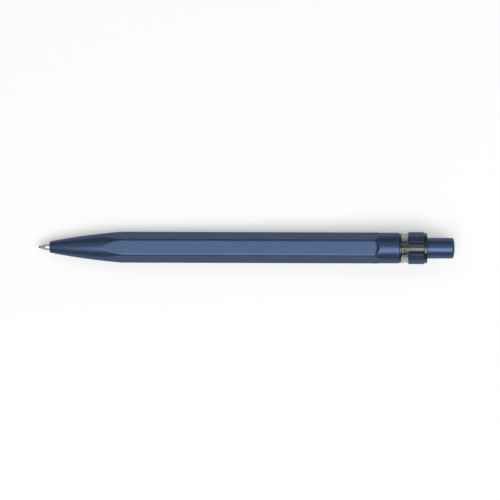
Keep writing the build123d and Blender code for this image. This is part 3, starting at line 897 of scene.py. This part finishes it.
# %% Turn the housing and join its key
KEY_HALF_WIDTH = 1.5 * MM
KEY_CROWN_RADIUS = 2.75 * MM
KEY_TOP = 4.97 * MM
KEY_FOOT = 3.75 * MM
KEY_SINK = 0.35 * MM
KEY_STEPS = 12
KEY_SHARP_DEG = 30.0


def key_bar():
    """The key: a bar with a crowned top, sunk into the neck and the band."""
    centre_z = KEY_TOP - KEY_CROWN_RADIUS
    spread = math.asin(KEY_HALF_WIDTH / KEY_CROWN_RADIUS)
    outline = [(KEY_HALF_WIDTH, KEY_FOOT), (-KEY_HALF_WIDTH, KEY_FOOT)]
    for step in range(KEY_STEPS + 1):
        angle = -spread + 2 * spread * step / KEY_STEPS
        across = KEY_CROWN_RADIUS * math.sin(angle)
        outline.append((across, centre_z + KEY_CROWN_RADIUS * math.cos(angle)))
    stations = (band_rear_x - KEY_SINK, clip_rear_x)
    return loft("key", [[(x, across, axis_z + up) for across, up in outline] for x in stations])


housing = turn("clear_housing", housing_section(), smoky_clear)
settle(housing, smoky_clear)
key = key_bar()
unite(housing, key)
settle(housing, smoky_clear, KEY_SHARP_DEG)
discard(key)
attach(housing, "barrel")
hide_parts("mechanism_housing")

# %% [markdown]
# ## Clip
#
# On the real pen the clip is one moulding: a split ring on the neck, a lug below it, and an arm that
# lies along the barrel with a bead near its tip. The ring's slot has parallel walls, so each corner
# of its section sweeps a little less than a full turn and stops at the wall.

# %% Build the ring of the clip
CLIP_BORE = 4.17 * MM
SLOT_HALF = 1.88 * MM
CLIP_EDGE = 0.28 * MM
RING_STEPS = 96
EDGE_SEGMENTS = 4


def clip_ring():
    """The split ring, with its slot towards the camera."""
    outer = radius("clip_collar")
    corners = [
        (clip_front_x, CLIP_BORE),
        (clip_front_x, outer),
        (clip_rear_x, outer),
        (clip_rear_x, CLIP_BORE),
    ]
    sections = []
    for step in range(RING_STEPS + 1):
        section = []
        for x, out in corners:
            gap = math.asin(SLOT_HALF / out)
            angle = math.pi / 2 + gap + (math.tau - 2 * gap) * step / RING_STEPS
            section.append((x, out * math.cos(angle), axis_z + out * math.sin(angle)))
        sections.append(section)
    piece = loft("clip_ring", sections)
    modifier = piece.modifiers.new("edges", "BEVEL")
    modifier.width = CLIP_EDGE
    modifier.segments = EDGE_SEGMENTS
    modifier.limit_method = "ANGLE"
    modifier.angle_limit = math.radians(SHARP_DEG)
    return piece


clip = settle(clip_ring(), clip_navy)

# %% [markdown]
# The arm is a loft of rounded sections. It could be a block with bevelled edges; instead its sections
# lie close together. They start as a rounded tip, widen towards the root, and rise in a fillet to the
# lug under the ring.

# %% Loft the arm
ARM_THICKNESS = 1.3 * MM
ARM_TIP_HALF = 2.0 * MM
ARM_ROOT_HALF = 2.5 * MM
ARM_EDGE = 0.35 * MM
ARM_TOP_EDGE = 0.12 * MM
EDGE_LIMIT = 0.9
ARM_STEPS = 44
TIP_STEPS = 10
TIP_START_SHARE = 0.004
LUG_TOP = 4.6 * MM
LUG_FILLET = 0.45 * MM
LUG_STEP = 0.06 * MM
arm_tip_x = ends("clip_arm")[0]
arm_bottom_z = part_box("clip_arm")[0].z
arm_top_z = arm_bottom_z + ARM_THICKNESS
knuckle_x = joints["clip_flex"]["pos_m"][0]


def arm_outline(half, bottom, top):
    """A section across the arm: rounded below, with a smaller round above."""
    low_edge = min(ARM_EDGE, half * EDGE_LIMIT)
    high_edge = min(ARM_TOP_EDGE, half * EDGE_LIMIT)
    corners = [
        (half, bottom, low_edge),
        (half, top, high_edge),
        (-half, top, high_edge),
        (-half, bottom, low_edge),
    ]
    return rounded_section(corners)[:-1]


def quarter_round(size):
    """How far along and how far up each step of a quarter round is, without its start."""
    angles = [math.pi / 2 * step / ARC_STEPS for step in range(1, ARC_STEPS + 1)]
    return [(size * math.sin(angle), size * (1 - math.cos(angle))) for angle in angles]


def arm_sections():
    """Station, half width, bottom and top of each section, from the tip to the lug's rear."""
    sections = []
    for step in range(TIP_STEPS):
        share = TIP_START_SHARE + (1 - TIP_START_SHARE) * (step / TIP_STEPS) ** 2
        reach = share * ARM_TIP_HALF
        half = math.sqrt(ARM_TIP_HALF**2 - (ARM_TIP_HALF - reach) ** 2)
        sections.append((arm_tip_x + reach, half, arm_bottom_z, arm_top_z))
    start_x = arm_tip_x + ARM_TIP_HALF
    fillet_x = knuckle_x - LUG_FILLET
    for step in range(ARM_STEPS + 1):
        x = start_x + (fillet_x - start_x) * step / ARM_STEPS
        half = ARM_TIP_HALF + (ARM_ROOT_HALF - ARM_TIP_HALF) * (x - start_x) / (knuckle_x - start_x)
        sections.append((x, half, arm_bottom_z, arm_top_z))
    for along, rise in quarter_round(LUG_FILLET):
        sections.append((fillet_x + along, ARM_ROOT_HALF, arm_bottom_z, arm_top_z + rise))
    lug_top_z = axis_z - LUG_TOP
    edge_x = clip_rear_x - ARM_EDGE
    sections.append((knuckle_x + LUG_STEP, ARM_ROOT_HALF, arm_bottom_z, lug_top_z))
    sections.append((edge_x, ARM_ROOT_HALF, arm_bottom_z, lug_top_z))
    for along, rise in quarter_round(ARM_EDGE):
        sections.append((edge_x + along, ARM_ROOT_HALF, arm_bottom_z + rise, lug_top_z))
    return sections


def clip_arm():
    """The arm and its lug, lofted through their sections."""
    rows = []
    for x, half, bottom, top in arm_sections():
        rows.append([(x, across, up) for across, up in arm_outline(half, bottom, top)])
    return loft("arm", rows)


arm = clip_arm()
print("sections of the arm:", len(arm_sections()))

# %% [markdown]
# The bead is a short bar across the arm, round on top, that all but touches the barrel. Ring, arm and
# bead are then joined to one skin. Of the clip's two bodies, its ring stays with the barrel and its
# arm turns.

# %% Make the bead and join the clip
BEAD_RADIUS = 1.6 * MM
BEAD_SETBACK = 3.2 * MM
BEAD_HALF_WIDTH = 1.6 * MM
BEAD_STEPS = 24
CLIP_SHARP_DEG = 35.0


def clip_bead():
    """The bead: a half round, cut off inside the arm."""
    centre_x = arm_tip_x + BEAD_SETBACK
    centre_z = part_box("clip_arm")[1].z - BEAD_RADIUS
    foot = arm_bottom_z + ARM_EDGE - centre_z
    outline = []
    for step in range(BEAD_STEPS + 1):
        angle = math.pi * step / BEAD_STEPS
        up = max(BEAD_RADIUS * math.sin(angle), foot)
        outline.append((centre_x + BEAD_RADIUS * math.cos(angle), centre_z + up))
    sides = (-BEAD_HALF_WIDTH, BEAD_HALF_WIDTH)
    return loft("bead", [[(x, across, z) for x, z in outline] for across in sides])


bead = clip_bead()
unite(clip, arm, bead)
settle(clip, clip_navy, CLIP_SHARP_DEG)
discard(arm, bead)
clip.name = "pocket_clip"
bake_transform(clip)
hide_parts("clip_collar", "clip_arm")

# %% [markdown]
# ## Dark rings and button
#
# All three are turned. One glossy dark ring fills the gap between the barrel's rim and the clear band,
# the other is a cap on the neck that keeps the clip on. The button is a thick cup with a gently domed
# end, hollow round the stem that it sits on.

# %% Turn the dark rings
RIM_RING_EDGE = 0.08 * MM
RIM_RING_BORE = 4.19 * MM
END_RING_LIP = 0.35 * MM
END_RING_EDGE = 0.2 * MM
END_RING_SEAT = 4.17 * MM

rim_ring_section = rounded_section(
    [
        (rim_ring_front_x, radius("rim_ring"), RIM_RING_EDGE),
        (rim_ring_rear_x, radius("rim_ring"), RIM_RING_EDGE),
        (rim_ring_rear_x, RIM_RING_BORE, 0),
        (rim_ring_front_x, RIM_RING_BORE, 0),
    ]
)
rim_ring = turn("rim_spacer_ring", rim_ring_section, ring_black)
settle(rim_ring, ring_black)
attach(rim_ring, "barrel")
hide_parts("rim_ring")

lip_x = ring_rear_x - END_RING_LIP
end_ring_section = rounded_section(
    [
        (ring_front_x, radius("end_ring"), CLEAR_ROUND),
        (ring_rear_x, radius("end_ring"), END_RING_EDGE),
        (ring_rear_x, BUTTON_BORE, CLEAR_ROUND),
        (lip_x, BUTTON_BORE, 0),
        (lip_x, END_RING_SEAT, 0),
        (ring_front_x, END_RING_SEAT, 0),
    ]
)
end_ring = turn("end_cap_ring", end_ring_section, ring_black)
settle(end_ring, ring_black)
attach(end_ring, "barrel")
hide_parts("end_ring")

# %% Turn the button
BUTTON_TOP_RADIUS = 3.49 * MM
BUTTON_EDGE = 0.8 * MM
BUTTON_FRONT_EDGE = 0.2 * MM
DOME_HEIGHT = 0.5 * MM
DOME_BULGE = DOME_HEIGHT / 4
DOME_STEPS = 16
EDGE_ROWS = 3
BUTTON_WALL = 0.8 * MM
BOSS_RADIUS = 2.15 * MM
STEM_HOLE_RADIUS = 1.65 * MM
STEM_HOLE_LENGTH = 8.05 * MM


def button_section():
    """The button's section, from the middle of the dome round to the bottom of the stem hole."""
    dome_x = button_end_x - DOME_HEIGHT
    wall_x = dome_x - BUTTON_WALL
    dome = arc_through((button_end_x, 0), (dome_x, BUTTON_TOP_RADIUS), -DOME_BULGE, DOME_STEPS)
    hollow_radius = BUTTON_TOP_RADIUS - BUTTON_WALL
    hole_end_x = button_front_x + STEM_HOLE_LENGTH
    corners = [
        (*dome[-EDGE_ROWS], 0),
        (dome_x, BUTTON_TOP_RADIUS, BUTTON_EDGE),
        (button_front_x, radius("push_button"), BUTTON_FRONT_EDGE),
        (button_front_x, hollow_radius, CLEAR_ROUND),
        (wall_x, hollow_radius, 0),
        (wall_x, BOSS_RADIUS, 0),
        (button_front_x, BOSS_RADIUS, CLEAR_ROUND),
        (button_front_x, STEM_HOLE_RADIUS, CLEAR_ROUND),
        (hole_end_x, STEM_HOLE_RADIUS, 0),
        (hole_end_x, 0, 0),
    ]
    return dome[:-EDGE_ROWS] + rounded_section(corners, closed=False)


button = turn("button_cap", button_section(), button_navy)
settle(button, button_navy)
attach(button, "button")
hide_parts("push_button")

# %% [markdown]
# ## Point and ball
#
# The point is turned from nickel silver: a rim rolled in over the ball, a cone, a slight taper and a
# shank inside the refill. The ball is a separate sphere, so that it can roll. A sphere from a divided
# cube has no poles, and its mottle makes the rolling visible.

# %% Turn the point
SOCKET_RIM_RADIUS = 0.55 * MM
CONE_LENGTH = 2.0 * MM
CONE_RADIUS = 1.2 * MM
TAPER_LENGTH = 1.2 * MM
SHANK_RADIUS = 0.9 * MM
SHANK_LENGTH = 3.0 * MM
INK_CHANNEL_RADIUS = 0.35 * MM
SOCKET_GAP = 0.03 * MM
SOCKET_STEPS = 10
POINT_EDGE = 0.05 * MM
POINT_STEPS_ROUND = 96
tip_x, shank_rear_x = ends("writing_tip")
ball_radius = radius("writing_ball")
ball_x = joints["ball_roll"]["pos_m"][0]


def point_section():
    """The point's section: outside from the rim to the shank, then back through channel and socket."""
    cone_x = tip_x + CONE_LENGTH
    shoulder_x = shank_rear_x - SHANK_LENGTH
    corners = [
        (tip_x, SOCKET_RIM_RADIUS, POINT_EDGE),
        (cone_x, CONE_RADIUS, POINT_EDGE),
        (cone_x + TAPER_LENGTH, radius("writing_tip"), POINT_EDGE),
        (shoulder_x, radius("writing_tip"), POINT_EDGE),
        (shoulder_x, SHANK_RADIUS, 0),
        (shank_rear_x, SHANK_RADIUS, POINT_EDGE),
        (shank_rear_x, INK_CHANNEL_RADIUS, 0),
    ]
    socket = ball_radius + SOCKET_GAP
    back = math.asin(INK_CHANNEL_RADIUS / socket)
    front = math.pi - math.acos((ball_x - tip_x) / socket)
    for step in range(SOCKET_STEPS + 1):
        angle = back + (front - back) * step / SOCKET_STEPS
        corners.append((ball_x + socket * math.cos(angle), socket * math.sin(angle), 0))
    return rounded_section(corners)


point = turn("metal_point", point_section(), point_metal, POINT_STEPS_ROUND)
settle(point, point_metal)
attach(point, "refill")
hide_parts("writing_tip")

# %% Make the ball
BALL_CUTS = 15
ALL_SMOOTH_DEG = 180.0


def rolling_ball():
    """The ball, from a cube that is divided and pushed out to a sphere."""
    shell = bmesh.new()
    bmesh.ops.create_cube(shell, size=1)
    bmesh.ops.subdivide_edges(shell, edges=shell.edges[:], cuts=BALL_CUTS, use_grid_fill=True)
    centre = Vector((ball_x, 0, axis_z))
    for vertex in shell.verts:
        vertex.co = centre + vertex.co.normalized() * ball_radius
    return stand_up("rolling_ball", shell)


ball = settle(rolling_ball(), ball_carbide, ALL_SMOOTH_DEG)
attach(ball, "ball")
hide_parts("writing_ball")

# %% [markdown]
# ## Return spring
#
# The spring is wound wire, so it is a path with a round profile. The tree lays points on a helix, in
# which the first and last turn lie nearly closed as on a ground spring, and sweeps a circle along
# them. Its front rests on a step in the barrel and its rear on the refill.

# %% Build the winding tree
WIRE_SIDES = 12


def winding_tree():
    """Winds a spring about the pen's axis between two stations."""
    sizes = ["Axis Height", "Start", "End", "Coil Radius", "Wire Radius"]
    sizes += ["Turns", "Closed Turns", "Closed Pitch"]
    tree, given, output = start_tree("Wind a spring", sizes, ["Points"])
    line = add(tree, "GeometryNodeMeshLine", {"Count": given["Points"]})
    last = sum_up(tree, "SUBTRACT", given["Points"], 1)
    share = sum_up(tree, "DIVIDE", add(tree, "GeometryNodeInputIndex").outputs[0], last)
    turns = sum_up(tree, "MULTIPLY", share, given["Turns"])
    angle = sum_up(tree, "MULTIPLY", turns, math.tau)
    closed_length = sum_up(tree, "MULTIPLY", given["Closed Turns"], given["Closed Pitch"])
    open_start = sum_up(tree, "ADD", given["Start"], closed_length)
    open_end = sum_up(tree, "SUBTRACT", given["End"], closed_length)
    open_length = sum_up(tree, "SUBTRACT", open_end, open_start)
    last_open = sum_up(tree, "SUBTRACT", given["Turns"], given["Closed Turns"])
    front = rescale(tree, turns, 0.0, given["Closed Turns"], given["Start"], open_start)
    middle = rescale(tree, turns, given["Closed Turns"], last_open, 0.0, open_length)
    rear = rescale(tree, turns, last_open, given["Turns"], 0.0, closed_length)
    along = sum_up(tree, "ADD", front, sum_up(tree, "ADD", middle, rear))
    coil = given["Coil Radius"]
    across = sum_up(tree, "MULTIPLY", coil, sum_up(tree, "COSINE", angle))
    up = sum_up(tree, "MULTIPLY_ADD", coil, sum_up(tree, "SINE", angle), given["Axis Height"])
    helix = move_to(tree, line.outputs["Mesh"], along, across, up)
    path = add(tree, "GeometryNodeMeshToCurve", {"Mesh": helix}).outputs[0]
    circle = {"Resolution": WIRE_SIDES, "Radius": given["Wire Radius"]}
    profile = add(tree, "GeometryNodeCurvePrimitiveCircle", circle).outputs["Curve"]
    sweep = {"Curve": path, "Profile Curve": profile, "Fill Caps": True}
    wire = add(tree, "GeometryNodeCurveToMesh", sweep)
    end_tree(tree, wire.outputs[0], given["Material"], output)
    return tree


wind_spring = winding_tree()
print("winding tree:", len(wind_spring.nodes), "nodes")

# %% Wind the spring
WIRE_RADIUS = 0.2 * MM
SPRING_TURNS = 12.0
CLOSED_TURNS = 1.0
CLOSED_PITCH = 0.46 * MM
SPRING_POINTS = 433
WIRE_SHARP_DEG = 60.0
spring_front_x, spring_rear_x = ends("return_spring")

spring = put_in_scene("coil_spring", bpy.data.meshes.new("coil_spring"))
run_tree(
    spring,
    wind_spring,
    axis_height=axis_z,
    start=spring_front_x + WIRE_RADIUS,
    end=spring_rear_x - WIRE_RADIUS,
    coil_radius=radius("return_spring") - WIRE_RADIUS,
    wire_radius=WIRE_RADIUS,
    turns=SPRING_TURNS,
    closed_turns=CLOSED_TURNS,
    closed_pitch=CLOSED_PITCH,
    points=SPRING_POINTS,
    material=wire_steel,
)
settle(spring, wire_steel, WIRE_SHARP_DEG)
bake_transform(spring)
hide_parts("return_spring")

# %% [markdown]
# ## Pieces inside
#
# The cam, its sleeve, the plunger and the refill keep their CAD shape, because it is exact and almost
# all of it is out of sight. Each still gets the plastic, metal or liquid that it is made of. The
# plunger matters most: it is the dark core that the clear band shows.

# %% Dress the inner CAD nodes
inner_finishes = {
    "cam_plunger": plain_plastic("plunger grey", (0.013, 0.013, 0.014), 0.35),
    "cam_rotor": plain_plastic("rotor acetal", (0.7, 0.7, 0.67), 0.4),
    "cam_sleeve": plain_plastic("sleeve acetal", (0.012, 0.012, 0.013), 0.45),
    "tip_holder": holder_brass,
    "ink_tube": plain_plastic("milky tube", (0.82, 0.83, 0.84), 0.3, clearness=0.7),
    "ink_column": plain_plastic("blue ink", (0.008, 0.015, 0.12), 0.1),
    "ink_follower": plain_plastic("clear grease", (0.72, 0.68, 0.5), 0.15, clearness=0.6),
    "refill_plug": plain_plastic("plug white", (0.75, 0.75, 0.73), 0.4),
}
for node, finish in inner_finishes.items():
    frame["nodes"][node].material_slots[0].material = finish
print("dressed inside:", ", ".join(inner_finishes))

# %% [markdown]
# ## Table and light
#
# The pen rests on two points: the front of its lower flat and the tip of its clip. The table therefore
# tilts two degrees against the pen, and that brings the shadow close at the nose and wider at the
# button. The table is white paper. It looks pure white because its own colour is lifted a little for
# rays from the camera, gloss or glass, and for no others, so the lift doesn't light the pen.

# %% Lay the table
REST_FRONT_SETBACK = 17.7 * MM
TABLE_HALF = 1.5
TABLE_WHITE = 0.72
PAPER_SPREAD = 0.005
FIBRES_PER_METRE = 800.0
TABLE_LIFT = 0.375


def white_table():
    """The table's plane, through the front of the lower flat and the tip of the clip."""
    front = Vector((nose_x + REST_FRONT_SETBACK, axis_z - apothem))
    rear = Vector((arm_tip_x, arm_bottom_z))
    slope = (rear.y - front.y) / (rear.x - front.x)
    corners = []
    for x, y in ((-1, -1), (1, -1), (1, 1), (-1, 1)):
        corners.append((x * TABLE_HALF, y * TABLE_HALF, rear.y + slope * (x * TABLE_HALF - rear.x)))
    mesh = bpy.data.meshes.new("table")
    mesh.from_pydata(corners, [], [(0, 1, 2, 3)])
    return put_in_scene("table", mesh)


def paper():
    """White paper, lifted to white for the camera and for gloss and glass."""
    made, tree, shader, place = start_material("white paper")
    fibre = noise(tree, place, FIBRES_PER_METRE, detail=3.0)
    low = (TABLE_WHITE - PAPER_SPREAD,) * 3
    high = (TABLE_WHITE + PAPER_SPREAD,) * 3
    ray = add(tree, "ShaderNodeLightPath").outputs
    shiny = sum_up(tree, "MAXIMUM", ray["Is Glossy Ray"], ray["Is Transmission Ray"])
    seen = sum_up(tree, "MAXIMUM", ray["Is Camera Ray"], shiny)
    finish = {
        "Base Color": two_tones(tree, fibre, low, high),
        "Roughness": 0.9,
        "Specular IOR Level": 0.0,
        "Emission Color": (1, 1, 1, 1),
        "Emission Strength": sum_up(tree, "MULTIPLY", seen, TABLE_LIFT),
    }
    fill_all(tree, shader, finish)
    return made


table = white_table()
table.data.materials.append(paper())
table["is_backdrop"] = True
print("table tilt:", round(math.degrees(math.asin(table.data.polygons[0].normal.x)), 2), "degrees")

# %% [markdown]
# A large soft box hangs above, a little towards the bottom of the picture, a dim white card on its
# other side lightens the shadow, and a dim white room fills the rest. The soft box lights the flat
# that faces up, and the strip of darker room beside it draws the dark lines along the corners.

# %% Hang the lights and fill the room
BOX_SIZE = (2.0, 1.76)
BOX_LEAN_DEG = 24.0
BOX_SIDESTEP = 0.43
BOX_WATTS = 41.5
CARD_SIZE = (3.0, 1.5)
CARD_LEAN_DEG = -32.0
CARD_WATTS = 8.5
LIGHT_DISTANCE = 2.0
ROOM_WHITE = 0.18


def hang(name, size, lean_deg, sidestep, watts):
    """A rectangular light above the pen that leans about the pen's axis."""
    light = bpy.data.lights.new(name, "AREA")
    light.shape = "RECTANGLE"
    light.size, light.size_y = size
    light.energy = watts
    hung = bpy.data.objects.new(name, light)
    lean = math.radians(lean_deg)
    hung.location = (sidestep, -LIGHT_DISTANCE * math.sin(lean), LIGHT_DISTANCE * math.cos(lean))
    hung.rotation_euler = (-lean, 0, 0)
    bpy.context.scene.collection.objects.link(hung)


hang("soft box", BOX_SIZE, BOX_LEAN_DEG, BOX_SIDESTEP, BOX_WATTS)
hang("white card", CARD_SIZE, CARD_LEAN_DEG, 0, CARD_WATTS)
room = bpy.data.worlds.new("room")
room.use_nodes = True
room.node_tree.nodes["Background"].inputs["Color"].default_value = (1, 1, 1, 1)
room.node_tree.nodes["Background"].inputs["Strength"].default_value = ROOM_WHITE
bpy.context.scene.world = room
print("lights:", [light.name for light in bpy.data.lights])

# %% [markdown]
# ## Check the size
#
# The dressed pen has to fill the box of its solids and no more.

# %% Write the sizes and finish
new_low, new_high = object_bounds()
changes = [abs(change) for change in (*(new_low - cad_low), *(new_high - cad_high))]
print("largest change of the box in mm:", round(max(changes) / MM, 3))
